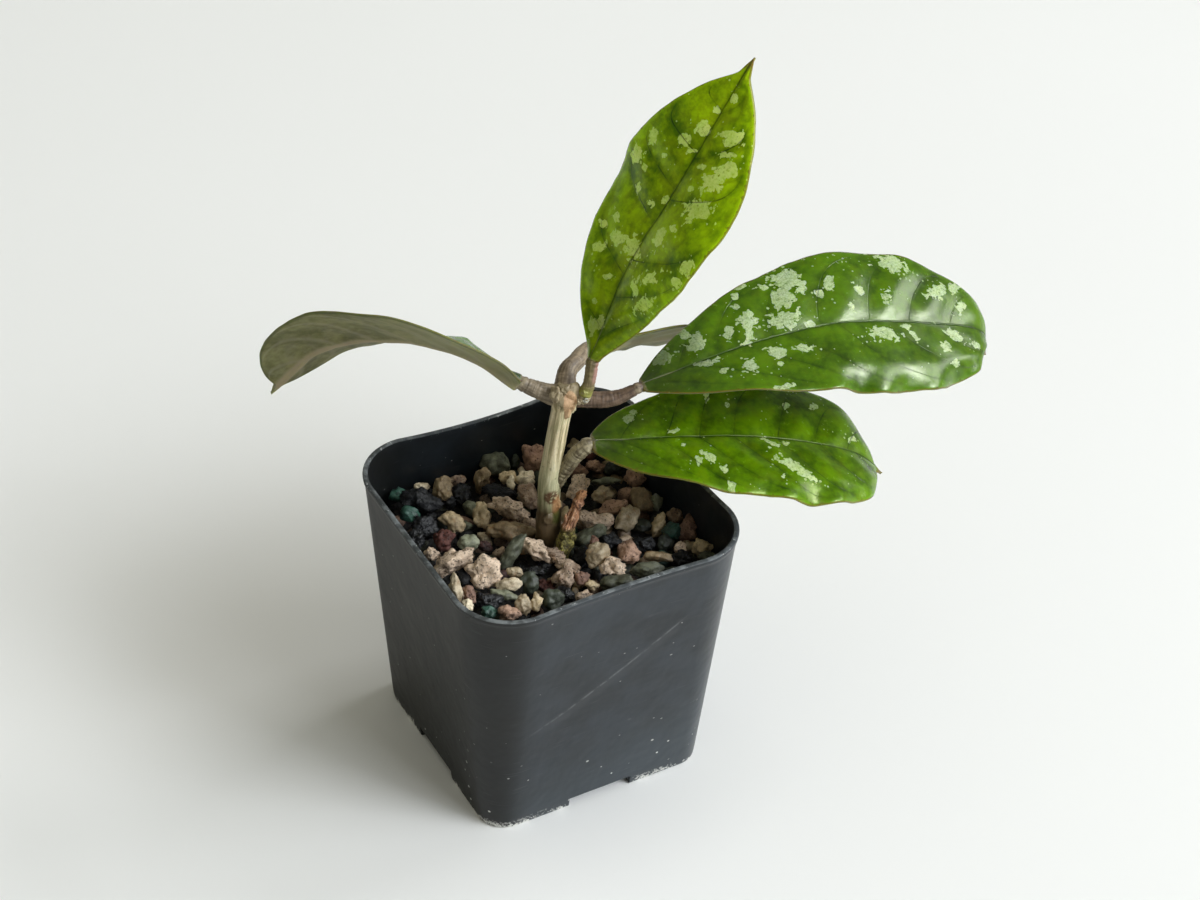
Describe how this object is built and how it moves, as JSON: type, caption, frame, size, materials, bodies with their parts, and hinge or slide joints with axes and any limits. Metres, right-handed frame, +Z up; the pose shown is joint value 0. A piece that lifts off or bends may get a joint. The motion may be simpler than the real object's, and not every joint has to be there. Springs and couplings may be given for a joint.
{
  "type": "potted hoya plant",
  "caption": "Young hoya with thick speckled leaves on a short woody stem, growing in mixed gravel in a small square tapered plastic nursery pot.",
  "frame": {"origin": "centre of the pot's flat underside", "axes": "+Z up, X and Y square to the pot's sides, -Y towards the side of the pot that faces the camera on the right"},
  "size_m": [0.17, 0.0866, 0.1878],
  "materials": {
    "pot_plastic": "satin charcoal moulded plastic, scuffed, with pale lime specks near the base",
    "gravel": "dull mixed grains, pinkish beige, cream, olive grey, charcoal and dark red",
    "stem_bark": "dull grey-green and tan bark with fine streaks",
    "stub_bark": "dry fibrous orange brown",
    "root_skin": "dull pale brown",
    "petiole_skin": "satin brown to olive, finely wrinkled",
    "leaf_blade": "glossy green upper face with pale splashes, dull olive-brown underside"
  },
  "bodies": {
    "root": {"pot": "pot_plastic", "gravel": "gravel", "main_stem": "stem_bark", "dead_stub": "stub_bark", "roots": "root_skin", "petiole_upright": "petiole_skin", "blade_upright": "leaf_blade", "petiole_long": "petiole_skin", "blade_long": "leaf_blade", "petiole_low": "petiole_skin", "blade_low": "leaf_blade", "petiole_drooping": "petiole_skin", "blade_drooping": "leaf_blade", "petiole_rear": "petiole_skin", "blade_rear": "leaf_blade"}
  },
  "joints": []
}
